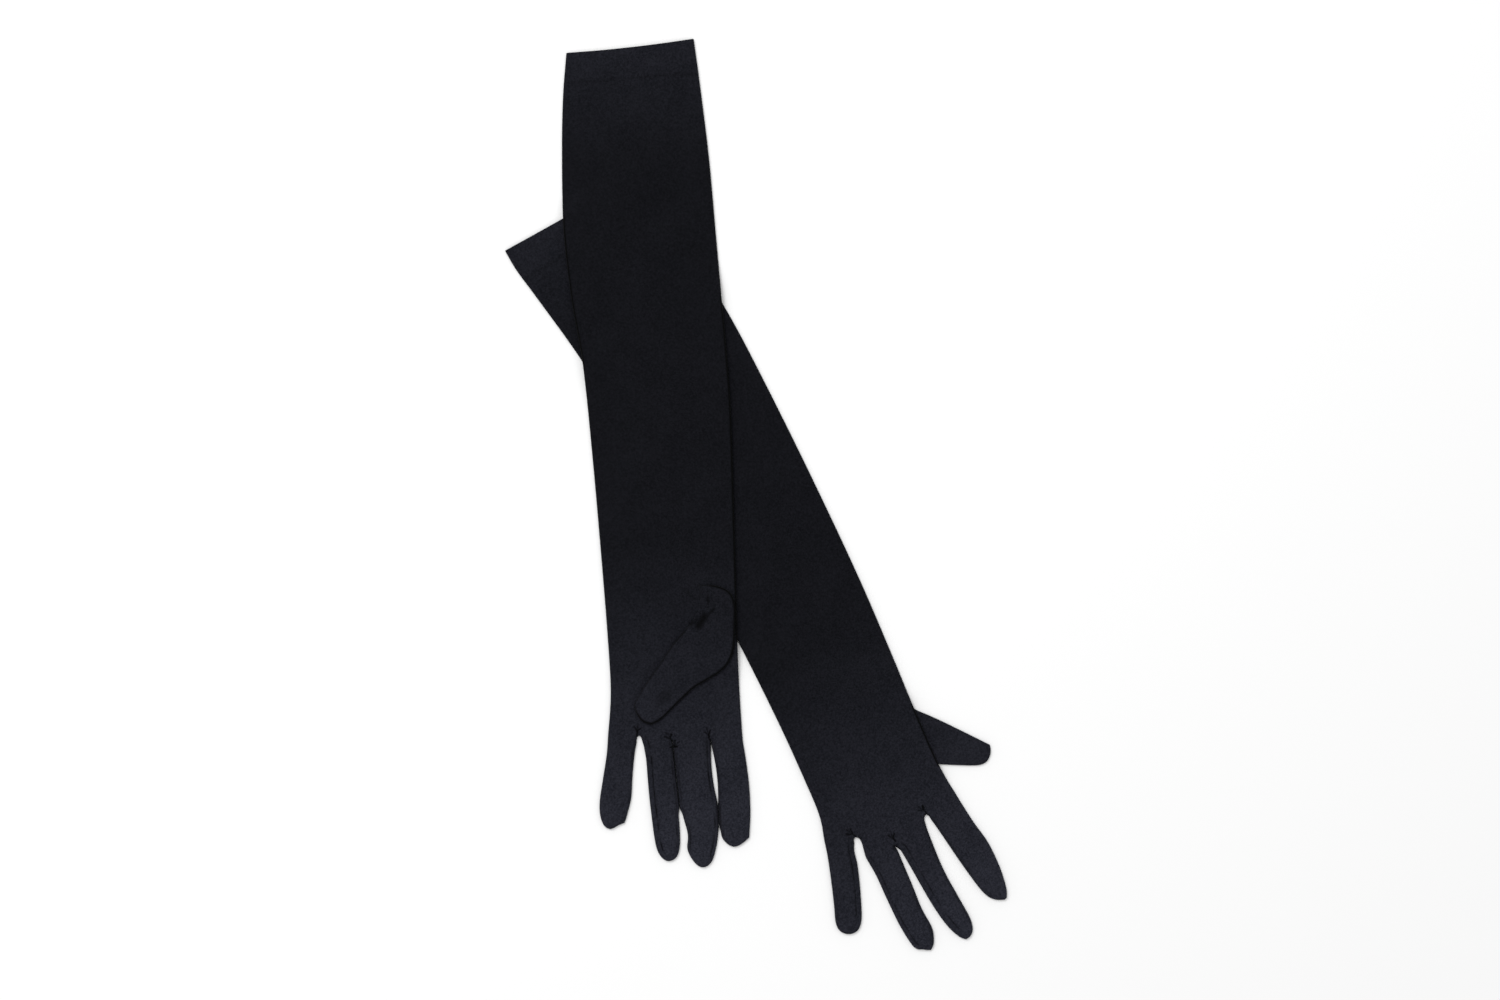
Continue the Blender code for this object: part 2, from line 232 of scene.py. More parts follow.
# Gathers round the left thumb's root, and a fold of the thumb, which also get painted shade.
ROOT_FOLDS = (
    ((17.8, 396.4), (22.2, 390.6), 0.48, 3.4),
    ((13.4, 394.4), (19.0, 391.6), 0.28, 2.4),
    ((25.8, 388.4), (29.0, 385.8), 0.45, 1.0),
    ((25.4, 377.6), (25.2, 382.4), 0.4, 0.9),
    ((11.4, 372.2), (16.2, 377.6), 0.25, 1.2),
)
THUMB_FOLD = ((-11.0, 444.5), (-7.0, 441.5), 0.22, 4.4)

# Knit. Shares say how much of the second of two textures is mixed into the first.
SPECKLE = {"Scale": 800, "Detail": 4, "Roughness": 0.85}
MOTTLE = {"Scale": 38, "Detail": 4, "Roughness": 0.6}
WALES = {"Distortion": 1.2, "Detail": 1, "Detail Scale": 2.0}
COURSES = {"Distortion": 1.5, "Detail": 1}
BANDS = 0.314  # a wave texture's scale times the distance between its bands
COURSE = 0.72  # height of a stitch, in widths of a stitch
COURSE_SHARE, SPECKLE_SHARE, STITCH_SHARE, BUMP_SPECKLE_SHARE = 0.45, 0.85, 0.12, 0.3
CONTRAST = (0.42, 0.58)  # values that give the darkest and the palest colour
ROUGHNESS = (0.6, 0.78)
PAINTED_LIGHT_ALONG = ((0.0, 0.5), (0.14, 0.23), (0.6, 0.26), (0.77, 0.54), (1.0, 1.0))  # painted light: brightness of the colour from cuff to fingertips
PAINTED_LIGHT_GAIN = 3.0
PAINTED_SHADE_DARKEST = 0.03  # what painted shade leaves of the colour at the bottom of a crease
BUMP_DEPTH = 0.0003  # in metres
BLACK = (0.0018, 0.0021, 0.0034)

# Studio, in metres.
FLOOR_SIZE, FLOOR_DROP, FLOOR_GREY = 6.0, 0.0001, 0.92
FILL = 0.81
KEY_WATTS, KEY_SIZE = 24.0, 1.1
KEY_PLACE = (-0.9, 1.1, 1.9)
CAMERA_OVER = (-0.00408, -0.00374)
CAMERA_HEIGHT = 2.833


# -------- outlines


def loop_of(node):
    """The outline of a flat CAD panel, anticlockwise as seen from above."""
    mesh = frame["nodes"][node].data
    points = np.empty(len(mesh.vertices) * 3)
    mesh.vertices.foreach_get("co", points)
    points = points.reshape(-1, 3) / MM
    top = points[:, 2].max()
    following = {}
    directed = set()
    for face in mesh.polygons:
        if face.normal.z > LEVEL and points[face.vertices[0], 2] > top - TOP_WITHIN:
            corners = [tuple(np.round(points[number, :2], 3)) for number in face.vertices]
            directed.update(zip(corners, corners[1:] + corners[:1]))
    for start, end in directed:
        if (end, start) not in directed:
            following[start] = end
    loops = []
    while following:
        start = next(iter(following))
        loop = [start]
        while following.get(loop[-1]) is not None:
            loop.append(following.pop(loop[-1]))
        loops.append(loop[:-1])
    return np.array(max(loops, key=len))


def inside(points, loop):
    """Whether each point is inside the closed loop."""
    start, end = loop, np.roll(loop, -1, axis=0)
    found = np.zeros(len(points), bool)
    for first in range(0, len(points), BATCH):
        x, y = points[first : first + BATCH].T[:, :, None]
        crosses = (start[:, 1] > y) != (end[:, 1] > y)
        rise = np.where(end[:, 1] == start[:, 1], TINY, end[:, 1] - start[:, 1])
        at = (end[:, 0] - start[:, 0]) * (y - start[:, 1]) / rise + start[:, 0]
        found[first : first + BATCH] = (crosses & (x < at)).sum(1) % 2 == 1
    return found


def to_loop(points, loop):
    """How far each point is from the closed loop's line."""
    start = loop
    line = np.roll(loop, -1, axis=0) - loop
    long = np.maximum((line**2).sum(1), TINY)
    found = np.empty(len(points))
    for first in range(0, len(points), BATCH):
        away = points[first : first + BATCH, None] - start
        t = np.clip((away * line).sum(2) / long, 0, 1)
        found[first : first + BATCH] = np.linalg.norm(away - t[:, :, None] * line, axis=2).min(1)
    return found


def joined(loops, neighbours, widest):
    """One outline round several panels, closing the narrow gaps between neighbouring ones."""
    names = list(loops)
    points = np.concatenate([loops[name] for name in names])
    edges, first = [], 0
    for name in names:
        count = len(loops[name])
        edges += [(first + number, first + (number + 1) % count) for number in range(count)]
        first += count
    made = delaunay_2d_cdt([Vector(point) for point in points], edges, [], 0, SAME_CORNER)
    corners = np.array([tuple(point) for point in made[0]])
    triangles = np.array(made[2])
    centres = corners[triangles].mean(1)
    kept = np.zeros(len(triangles), bool)
    for name in names:
        kept |= inside(centres, loops[name])
    for one, other in neighbours:
        beside_both = (to_loop(corners, loops[one]) < widest) & (to_loop(corners, loops[other]) < widest)
        kept |= beside_both[triangles].all(1)
    directed = {(a, b) for t in triangles[kept] for a, b in zip(t, np.roll(t, -1))}
    following = {a: b for a, b in directed if (b, a) not in directed}
    loops_found = []
    while following:
        loop = [next(iter(following))]
        while following.get(loop[-1]) is not None:
            loop.append(following.pop(loop[-1]))
        loops_found.append(corners[loop[:-1]])
    return max(loops_found, key=len)


def merged(loop, least):
    """The loop without edges shorter than least: their ends become one point."""
    kept = [loop[0]]
    for point in loop[1:]:
        if np.linalg.norm(point - kept[-1]) < least:
            kept[-1] = (point + kept[-1]) / 2
        else:
            kept.append(point)
    return np.array(kept)


def smooth(loop, step):
    """A smooth closed curve through the loop, keeping its outward corners, in pieces of about step."""
    before = loop - np.roll(loop, 1, axis=0)
    after = np.roll(loop, -1, axis=0) - loop
    before_unit = before / np.linalg.norm(before, axis=1, keepdims=True)
    after_unit = after / np.linalg.norm(after, axis=1, keepdims=True)
    turn = np.arctan2(np.cross(before_unit, after_unit), (before_unit * after_unit).sum(1))
    corner = (turn > math.radians(CORNER_TURNS[0])) & (turn < math.radians(CORNER_TURNS[1]))
    middle = before_unit + after_unit
    middle /= np.maximum(np.linalg.norm(middle, axis=1, keepdims=True), TINY)
    curve, sharp = [], []
    for number, start in enumerate(loop):
        other = (number + 1) % len(loop)
        end, length = loop[other], np.linalg.norm(after[number])
        leaving = length * (after_unit[number] if corner[number] else middle[number])
        arriving = length * (before_unit[other] if corner[other] else middle[other])
        pieces = max(1, round(length / step))
        for t in np.arange(pieces) / pieces:
            point = (2 * t**3 - 3 * t**2 + 1) * start + (t**3 - 2 * t**2 + t) * leaving
            curve.append(point + (3 * t**2 - 2 * t**3) * end + (t**3 - t**2) * arriving)
            sharp.append(bool(corner[number]) and t == 0)
    curve, sharp = np.array(curve), np.array(sharp)
    eased = (np.roll(curve, 1, axis=0) + 2 * curve + np.roll(curve, -1, axis=0)) / 4
    return np.where(sharp[:, None], curve, eased)


def tree_of(points):
    tree = KDTree(len(points))
    for number, point in enumerate(points):
        tree.insert((point[0], point[1], 0.0), number)
    tree.balance()
    return tree


def nearest(tree, points):
    """(distance, index) of the tree's nearest point to each point."""
    found = [tree.find((point[0], point[1], 0.0)) for point in points]
    return np.array([f[2] for f in found]), np.array([f[1] for f in found])


def ease(t):
    t = np.clip(t, 0, 1)
    return t * t * (3 - 2 * t)


def to_segment(points, start, end):
    """Distance of each point from the straight line between start and end."""
    line = end - start
    t = np.clip((points - start) @ line / (line @ line), 0, 1)
    return np.linalg.norm(points - start - t[:, None] * line, axis=1)


# -------- a glove's cloth


class Joint:
    """A hinge seen from above: where it is, and which way its free part runs from it."""

    def __init__(self, name):
        joint = next(j for j in frame["joints"] if j["name"] == name)
        self.place = np.array(joint["pos_m"][:2]) / MM
        self.height = joint["pos_m"][2] / MM
        axis = joint["axis"]
        self.along = np.array((-axis[1], axis[0])) / math.hypot(axis[0], axis[1])
        self.parent, self.child = joint["parent"], joint["child"]

    def ahead(self, points):
        return (points - self.place) @ self.along

    def bend(self, piece, reach):
        """Bakes the piece's placement into its mesh."""
        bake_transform(piece)


class Glove:
    """The outline of one glove, its parts, and where its joints are."""

    def __init__(self, side, sleeve_panels, upper_layer, lower_layer):
        self.side = side
        self.layers = (upper_layer, lower_layer)
        self.sleeve_panels = sleeve_panels
        self.hinges = {finger: Joint(f"{side}_{finger}_fold") for finger in FINGERS}
        self.wrist = Joint(f"{side}_wrist_fold")
        self.along = self.wrist.along
        self.across = np.array((-self.along[1], self.along[0]))
        panels = [*sleeve_panels, "hand", *FINGERS]
        loops = {panel: loop_of(f"{side}_{panel}_back") for panel in panels}
        neighbours = list(zip(sleeve_panels, [*sleeve_panels[1:], "hand"]))
        neighbours += [("hand", finger) for finger in FINGERS]
        outline = smooth(merged(joined(loops, neighbours, PANEL_GAP), SHORTEST), OUTLINE_STEP)
        seam_corner = int(np.argmax(outline @ (-self.across - self.along)))
        self.outline = np.roll(outline, -seam_corner, axis=0)
        self.fold_corner = int(np.argmax(self.outline @ (self.across - self.along)))
        self.origin = (self.outline[0] + self.outline[self.fold_corner]) / 2
        self.tips = {f: loops[f][int(np.argmax(self.hinges[f].ahead(loops[f])))] for f in FINGERS}
        self.close_gaps()
        self.shape_slits()
        self.parts = self.outline_parts()
        self.edge = tree_of(np.concatenate([part for name, part in self.parts.items() if name != "cuff"]))
        self.trees = {name: tree_of(part) for name, part in self.parts.items()}

    def close_gaps(self):
        """Fingers that lie side by side touch."""
        for one, other in TOUCHING:
            parts = self.outline_parts()
            moved = self.outline.copy()
            for part, facing in ((one, other), (other, one)):
                on_part = nearest(tree_of(parts[part]), self.outline)[0] < ON_LINE
                points = self.outline[on_part]
                gap, number = nearest(tree_of(parts[facing]), points)
                share = np.clip((CLOSED_GAP - gap) / CLOSING_FADES, 0, 1)
                moved[on_part] += (parts[facing][number] - points) * CLOSED_SHARE * share[:, None]
            self.outline = moved

    def shape_slits(self):
        """Between some fingers the outline follows a narrow slit from its root to its end."""
        for one, other, start, end, widest in SLITS[self.side]:
            parts = self.outline_parts()
            for part, side in ((one, -1), (other, 1)):
                on_part = nearest(tree_of(parts[part]), self.outline)[0] < ON_LINE
                u, v = self.flat(self.outline[on_part]).T
                t = (v - start[1]) / (end[1] - start[1])
                half = HAIR + widest / 2 * np.sin(math.pi * np.clip(t, 0, 1))
                wanted = start[0] + (end[0] - start[0]) * t + side * half
                share = ease(1 - (v - end[1]) / SLIT_FADES)
                self.outline[on_part] += ((wanted - u) * share)[:, None] * self.across

    def outline_parts(self):
        """The outline cut at fingertips, between fingers and at the cuff, as close rows of points."""
        line = self.outline
        tips = [int(np.argmin(np.linalg.norm(line - self.tips[finger], axis=1))) for finger in FINGERS]
        ahead = line @ self.along
        crotches = [a + int(np.argmin(ahead[a:b])) for a, b in zip(tips, tips[1:])]
        cuts = [0, tips[0], crotches[0], tips[1], crotches[1], tips[2], crotches[2], tips[3]]
        cuts += [self.fold_corner, len(line)]
        names = ("seam", "little_inner", "ring_outer", "ring_inner", "middle_outer", "middle_inner")
        names += ("index_outer", "fold", "cuff")
        closed = np.concatenate((line, line[:1]))
        return {name: dense(closed[a : b + 1]) for name, a, b in zip(names, cuts, cuts[1:])}

    def flat(self, points):
        """(u, v) of points on the table."""
        shifted = points - self.origin
        return np.column_stack((shifted @ self.across, shifted @ self.along))


def dense(line):
    """The same line with many more points on it."""
    pieces = []
    for start, end in zip(line, line[1:]):
        count = max(1, round(np.linalg.norm(end - start) / DENSE_STEP))
        pieces.append(start + (end - start) * np.arange(count)[:, None] / count)
    return np.concatenate([*pieces, line[-1:]])


# -------- relief of the cloth


def rounded(distance, width):
    """From 0 at an edge to 1 where the cloth has turned flat, along a quarter circle."""
    t = np.clip(distance / width, 0, 1)
    return np.sqrt(np.clip(1 - (1 - t) ** 2, 0, 1))


def uneven(flat, size, seed):
    """Smooth noise between about -1 and 1 with bumps of the given size."""
    return np.array([noise.noise(Vector((u / size, v / size, seed))) for u, v in flat])


def crease(flat, start, end, depth, width):
    """A soft valley between two places, with raised lips."""
    away = to_segment(flat, np.array(start), np.array(end)) / width
    return depth * (LIP_HEIGHT * np.exp(-((away - LIP_AWAY) ** 2)) - np.exp(-(away**2)))


def pucker(flat, centre, turn):
    """A gather where two fingers part: short crooked creases that fan out from one stitch into the hand."""
    shifts = [uneven(flat, PUCKER_WARP_SIZE, seed) for seed in (1.3, 8.6)]
    flat = flat + PUCKER_WARP * np.column_stack(shifts)
    creases = []
    for angle, near, far, depth, width in PUCKER_CREASES:
        arm = math.radians(angle + turn)
        way = np.array((math.sin(arm), -math.cos(arm)))
        start, end = centre + near * way, centre + far * way
        creases.append(crease(flat, start, end, depth, width))
    return deepest(creases)


def deepest(creases):
    """Several creases together: the deepest one counts, and the lips of the others don't fill it."""
    low, high = np.min(creases, axis=0), np.max(creases, axis=0)
    return np.where(low < CREASE_COUNTS, low, high)


def finger_share(glove, points):
    """0 on the sleeve and the hand, 1 on the fingers."""
    ahead = np.max([joint.ahead(points) for joint in glove.hinges.values()], axis=0)
    return ease((ahead + PUFF_BEHIND) / PUFF_OVER)


def seam_grooves(glove, points):
    """The seams that join each finger's panels to the strips between the fingers."""
    relief = np.zeros(len(points))
    usual, least = GROOVE_SHARES
    stitched = np.clip(usual + uneven(glove.flat(points), size=7, seed=2.2), least, 1)
    for part, (inset, depth) in GROOVES[glove.side].items():
        finger = part.split("_")[0]
        from_side = nearest(glove.trees[part], points)[0]
        from_tip = np.linalg.norm(points - glove.tips[finger], axis=1)
        own = owner_of(glove, points) == FINGERS.index(finger)
        from_root = glove.hinges[finger].ahead(points)
        shown = own * ease((from_tip - GROOVE_FROM_TIP) / GROOVE_FADES)
        shown = shown * ease((from_root + GROOVE_BEHIND) / GROOVE_FADES)
        away = (from_side - inset) / GROOVE_WIDTH
        lip = GROOVE_LIP * np.exp(-((away + GROOVE_LIP_AWAY) ** 2))
        relief += shown * stitched * depth * (lip - np.exp(-(away**2)))
    return relief


def owner_of(glove, points):
    """Which finger's centre line each point is nearest to, as the finger's number in FINGERS."""
    away = [to_segment(points, glove.hinges[f].place, glove.tips[f]) for f in FINGERS]
    return np.argmin(away, axis=0)


def relief_and_painted_shade(glove, points):
    """Relief of the seams, gathers and creases in the upper layer, and of its rims where it lies on another
    layer. The same relief sets painted shade, darker where deeper, and along the rims this is a painted
    shadow.
    """
    flat = glove.flat(points)
    relief = -STITCH_DEPTH * np.exp(-(((flat[:, 1] - HEM_DEPTH) / STITCH_WIDTH) ** 2))
    for centre, turn in PUCKERS[glove.side]:
        relief += pucker(flat, centre, turn)
    relief += seam_grooves(glove, points)
    # A groove with painted shade where two fingers touch.
    for one, other in TOUCHING:
        apart = nearest(glove.trees[one], points)[0] + nearest(glove.trees[other], points)[0]
        relief -= TOUCH_GROOVE_AND_SHADE * np.exp(-((apart / TOUCH_WIDTH) ** 2))
    # Painted shadow, with a slight sink, along the rim where this layer lies on another.
    rim = np.exp(-(((nearest(glove.edge, points)[0] - RIM_IN) / RIM_WIDTH) ** 2))
    relief -= RIM_SINK_AND_SHADOW * rim * lies_on(glove, points)
    if glove.side == "left":
        relief += root_creases(flat)
    return relief


def lies_on(glove, points):
    """1 where the glove lies on something: the left one on the right one, and that on its own thumb."""
    if glove.side == "left":
        return ease(1 - outside(points, right.outline, right_edge) / RIM_FADES)
    return ease(1 - outside(points, right_thumb_outline, right_thumb_edge) / RIM_FADES)


def root_creases(flat):
    """Relief of the gathers round the root of the left thumb."""
    return deepest([crease(flat, start, end, depth, width) for start, end, depth, width in ROOT_FOLDS])


def thumb_fullness(flat):
    """From thin, where the left thumb grows out of the palm, to 1."""
    away = np.linalg.norm(flat - THUMB_GROWS, axis=1)
    return THUMB_THIN + (1 - THUMB_THIN) * ease((away - THUMB_FILLS) / THUMB_FULL_OVER)


def layer_heights(glove, points, lift):
    """Height of the upper and lower layer of a glove at each point."""
    flat = glove.flat(points)
    inward = nearest(glove.edge, points)[0]
    fingers = finger_share(glove, points)
    puff = SLEEVE_PUFF * ease(inward / SLEEVE_PUFF_IN) * (1 - fingers)
    puff += FINGER_PUFF * ease(inward / FINGER_PUFF_IN) * fingers
    middle = TABLE_GAP + EDGE_HALF + lift(points)
    half = EDGE_HALF * rounded(inward, EDGE_ROUND)
    relief = sum(height * uneven(flat, size, seed) for height, size, seed in WAVES)
    for start, end, depth, width in FOLDS[glove.side]:
        relief += crease(flat, start, end, depth, width)
    relief += relief_and_painted_shade(glove, points)
    return middle + half + puff + relief * ease(inward / CALM_EDGE), middle - half


# -------- meshes


def even_grid(low, high, step):
    """Points of a grid of even triangles over a rectangle."""
    rows = []
    for number, y in enumerate(np.arange(low[1], high[1], step * math.sqrt(0.75))):
        x = np.arange(low[0] + (number % 2) * step / 2, high[0], step)
        rows.append(np.column_stack((x, np.full(len(x), y))))
    return np.concatenate(rows)


def rows_along(outline, border, rings):
    """Points in rows parallel to the outline, where they aren't nearer to another part of it."""
    normal = np.roll(outline, -1, axis=0) - np.roll(outline, 1, axis=0)
    normal = np.column_stack((-normal[:, 1], normal[:, 0])) / np.linalg.norm(normal, axis=1, keepdims=True)
    rows = []
    for ring in rings:
        row = outline + ring * normal
        row = row[nearest(border, row)[0] > ROW_APART * ring]
        rows.append(row[inside(row, outline)])
    return np.concatenate(rows)


def triangles_of(outline, inner):
    """Corner numbers of triangles that fill the outline, over its own points and then the inner ones."""
    points = [Vector(point) for point in np.concatenate((outline, inner))]
    edges = [(number, (number + 1) % len(outline)) for number in range(len(outline))]
    made = delaunay_2d_cdt(points, edges, [], 1, SAME_POINT)
    number_of = np.array([group[0] for group in made[3]])
    return number_of[np.array(made[2])]


def normals_of(points, faces):
    """Smooth normals of a whole mesh, one for each point."""
    a, b, c = points[faces[:, 0]], points[faces[:, 1]], points[faces[:, 2]]
    each = np.cross(b - a, c - a)
    total = np.zeros_like(points)
    for corner in range(3):
        np.add.at(total, faces[:, corner], each)
    return total / np.maximum(np.linalg.norm(total, axis=1, keepdims=True), 1e-12)


class Cloth:
    """A double layer of cloth: points in millimetres, faces, which layer each face is in, and the painted
    shade of the upper layer.
    """

    def __init__(self, outline, inner_upper, inner_lower, heights, open_edge, painted_shade_of):
        outer = len(outline)
        upper_faces = triangles_of(outline, inner_upper)
        lower_faces = triangles_of(outline, inner_lower)[:, ::-1]
        flat_upper = np.concatenate((outline, inner_upper))
        flat_lower = np.concatenate((outline, inner_lower))
        upper = np.column_stack((flat_upper, heights(flat_upper)[0]))
        lower = np.column_stack((flat_lower, heights(flat_lower)[1]))
        # Along a closed edge, both layers share the outline's points.
        shared = np.ones(outer, bool)
        shared[list(open_edge)] = False
        number_of = np.arange(len(lower)) + len(upper)
        number_of[:outer][shared] = np.arange(outer)[shared]
        self.points = np.concatenate((upper, lower))
        self.faces = np.concatenate((upper_faces, number_of[lower_faces]))
        self.upper = np.arange(len(self.faces)) < len(upper_faces)
        self.centres = self.points[self.faces].mean(1)[:, :2]
        self.normals = normals_of(self.points, self.faces)
        # Painted shade: how far each point's colour is darkened, from the relief given for painted shade.
        self.crease = np.zeros(len(self.points))
        self.crease[: len(upper)] = np.clip(-painted_shade_of(flat_upper) / PAINTED_SHADE_DEPTH, 0, 1)


def make_piece(name, cloth, faces, flat, material):
    """A Blender object of the faces given, with the whole cloth's normals at its border."""
    used, corner = np.unique(faces, return_inverse=True)
    corner = corner.reshape(faces.shape)
    mesh = bpy.data.meshes.new(name)
    mesh.from_pydata((cloth.points[used] * MM).tolist(), [], corner.tolist())
    mesh.materials.append(material)
    layer = mesh.uv_layers.new(name="cloth")
    layer.data.foreach_set("uv", (flat[used] * MM)[corner.ravel()].ravel())
    mesh.shade_smooth()
    mesh.normals_split_custom_set_from_vertices(cloth.normals[used].tolist())
    # The painted shade of creases, seams and rims, read by the material.
    mesh.attributes.new("painted_crease_shade", "FLOAT", "POINT")
    mesh.attributes["painted_crease_shade"].data.foreach_set("value", cloth.crease[used])
    piece = bpy.data.objects.new(name, mesh)
    bpy.context.scene.collection.objects.link(piece)
    return piece


# -------- materials


def knit(name, dark, pale, wale):
    """Fine stretch knit: speckled and mottled black, with the ribs and rows of the stitches as bumps,
    painted light along the glove and painted shade in its creases.
    """
    material = bpy.data.materials.new(name)
    material.use_nodes = True
    nodes, links = material.node_tree.nodes, material.node_tree.links
    shader = nodes["Principled BSDF"]
    shader.inputs["Specular IOR Level"].default_value = 0.04
    shader.inputs["Sheen Weight"].default_value = 0.02
    shader.inputs["Sheen Roughness"].default_value = 0.5
    place = nodes.new("ShaderNodeUVMap")
    place.uv_map = "cloth"
    flat = place.outputs["UV"]

    def feed(socket, value):
        """Give a socket a constant, or link another node's output to it."""
        if isinstance(value, bpy.types.NodeSocket):
            links.new(value, socket)
        else:
            socket.default_value = value

    def made(kind, **inputs):
        """A new node with its inputs given by name."""
        node = nodes.new(kind)
        for socket, value in inputs.items():
            feed(node.inputs[socket.replace("_", " ")], value)
        return node

    def mixed(first, second, share):
        node = made("ShaderNodeMix", Factor=share)
        node.data_type = "RGBA"
        feed(node.inputs[6], first)
        feed(node.inputs[7], second)
        return node.outputs[2]

    def product(first, second):
        node = nodes.new("ShaderNodeMath")
        node.operation = "MULTIPLY"
        feed(node.inputs[0], first)
        feed(node.inputs[1], second)
        return node.outputs["Value"]

    speckle = made("ShaderNodeTexNoise", Vector=flat, **SPECKLE).outputs["Color"]
    mottle = made("ShaderNodeTexNoise", Vector=flat, **MOTTLE).outputs["Color"]
    wales = made("ShaderNodeTexWave", Vector=flat, Scale=BANDS / wale, **WALES)
    courses = made("ShaderNodeTexWave", Vector=flat, Scale=BANDS / (wale * COURSE), **COURSES)
    courses.bands_direction = "Y"
    stitches = mixed(wales.outputs["Color"], courses.outputs["Color"], COURSE_SHARE)
    pattern = mixed(mixed(mottle, speckle, SPECKLE_SHARE), stitches, STITCH_SHARE)
    spread = made("ShaderNodeMapRange", Value=pattern, From_Min=CONTRAST[0], From_Max=CONTRAST[1])
    colour = mixed((*dark, 1), (*pale, 1), spread.outputs["Result"])

    # Painted light: a brightness ramp along the glove, paler towards the fingertips. Painted shade: darker
    # down in the creases and along rims.
    along = made("ShaderNodeSeparateXYZ", Vector=flat).outputs["Y"]
    length = made("ShaderNodeMapRange", Value=along, From_Max=GLOVE_LENGTH * MM).outputs["Result"]
    ramp = made("ShaderNodeValToRGB", Fac=length)
    levels = ramp.color_ramp.elements
    for where, _ in PAINTED_LIGHT_ALONG[1:-1]:
        levels.new(where)
    for level, (_, grey) in zip(levels, PAINTED_LIGHT_ALONG):
        level.color = (grey, grey, grey, 1)
    depth = nodes.new("ShaderNodeAttribute")
    depth.attribute_name = "painted_crease_shade"
    darker = made("ShaderNodeMapRange", Value=depth.outputs["Fac"], To_Min=1.0, To_Max=PAINTED_SHADE_DARKEST)
    shade = product(product(ramp.outputs["Color"], PAINTED_LIGHT_GAIN), darker.outputs["Result"])
    shaded = made("ShaderNodeVectorMath")
    shaded.operation = "SCALE"
    feed(shaded.inputs["Vector"], colour)
    feed(shaded.inputs["Scale"], shade)
    feed(shader.inputs["Base Color"], shaded.outputs["Vector"])
    rough = made("ShaderNodeMapRange", Value=pattern, To_Min=ROUGHNESS[0], To_Max=ROUGHNESS[1])
    feed(shader.inputs["Roughness"], rough.outputs["Result"])
    height = mixed(stitches, speckle, BUMP_SPECKLE_SHARE)
    bump = made("ShaderNodeBump", Strength=0.8, Distance=BUMP_DEPTH, Height=height)
    feed(shader.inputs["Normal"], bump.outputs["Normal"])
    return material


materials = {
    "left_cloth": knit("left_knit", BLACK, (0.0107, 0.011, 0.0151), 0.00062),
    "right_cloth": knit("right_knit", BLACK, (0.0109, 0.0112, 0.0154), 0.00062),
    "fourchette_cloth": knit("fourchette_knit", (0.0016, 0.0019, 0.0031), (0.0099, 0.0102, 0.014), 0.00058),
    "turned_cloth": knit("turned_knit", (0.003, 0.0034, 0.005), (0.013, 0.0142, 0.019), 0.0007),
}


# -------- the two gloves

left = Glove("left", ["upper", "forearm"], "palm", "back")
right = Glove("right", ["sleeve"], "back", "palm")
elbow = Joint("left_elbow_fold")


def outside(points, loop, tree):
    """How far each point is outside the loop, and 0 inside it."""
    return np.where(inside(points, loop), 0, nearest(tree, points)[0])


def rooted(loop, length):
    """A thumb's outline with its two sides carried straight on at its root, in under the palm."""
    edges = np.linalg.norm(np.roll(loop, -1, axis=0) - loop, axis=1)
    loop = np.roll(loop, -int(np.argmax(edges)) - 1, axis=0)
    first, last = loop[0] - loop[1], loop[-1] - loop[-2]
    past_last = loop[-1] + last / np.linalg.norm(last) * length
    past_first = loop[0] + first / np.linalg.norm(first) * length
    return np.concatenate((loop, (past_last, past_first)))


def closed_tree(outline):
    return tree_of(dense(np.concatenate((outline, outline[:1]))))


left_thumb_outline = smooth(merged(loop_of("left_thumb_top"), THUMB_SHORTEST), OUTLINE_STEP)
left_root_outline = smooth(merged(loop_of("left_thumb_root"), THUMB_SHORTEST), OUTLINE_STEP)
right_thumb_outline = smooth(rooted(loop_of("right_thumb_under"), ROOT_LENGTH), OUTLINE_STEP)
left_thumb_edge = closed_tree(left_thumb_outline)
left_root_edge = closed_tree(left_root_outline)
right_thumb_edge = closed_tree(right_thumb_outline)
right_edge = closed_tree(right.outline)


def left_lift(points):
    """The left glove lies over the right one, and slopes down to the table beside it."""
    return LEFT_LIFT * ease(1 - outside(points, right.outline, right_edge) / LEFT_RAMP)


def right_lift(points):
    """The right hand lies over the root of its own thumb."""
    return THUMB_LIFT * ease(1 - outside(points, right_thumb_outline, right_thumb_edge) / THUMB_RAMP)


def left_heights(points):
    """The left glove, pressed in a little along the edge of its folded thumb."""
    upper, lower = layer_heights(left, points, left_lift)
    beside = nearest(left_thumb_edge, points)[0]
    press = THUMB_PRESS * thumb_fullness(left.flat(points)) * np.exp(-((beside / PRESS_WIDTH) ** 2))
    return upper - press * ease(nearest(left.edge, points)[0] / CALM_EDGE), lower


def right_heights(points):
    return layer_heights(right, points, right_lift)


def left_root_heights(points):
    """An oval gusset set into the palm, standing just proud of it round its seam."""
    palm = left_heights(points)[0]
    inward = nearest(left_root_edge, points)[0]
    round_edge = rounded(inward, GUSSET_ROUND)
    seam = GUSSET_SEAM * np.exp(-(((inward - GUSSET_SEAM_IN) / GUSSET_SEAM_WIDTH) ** 2))
    return palm + GUSSET_ABOVE * round_edge + seam, palm - GUSSET_BELOW * round_edge


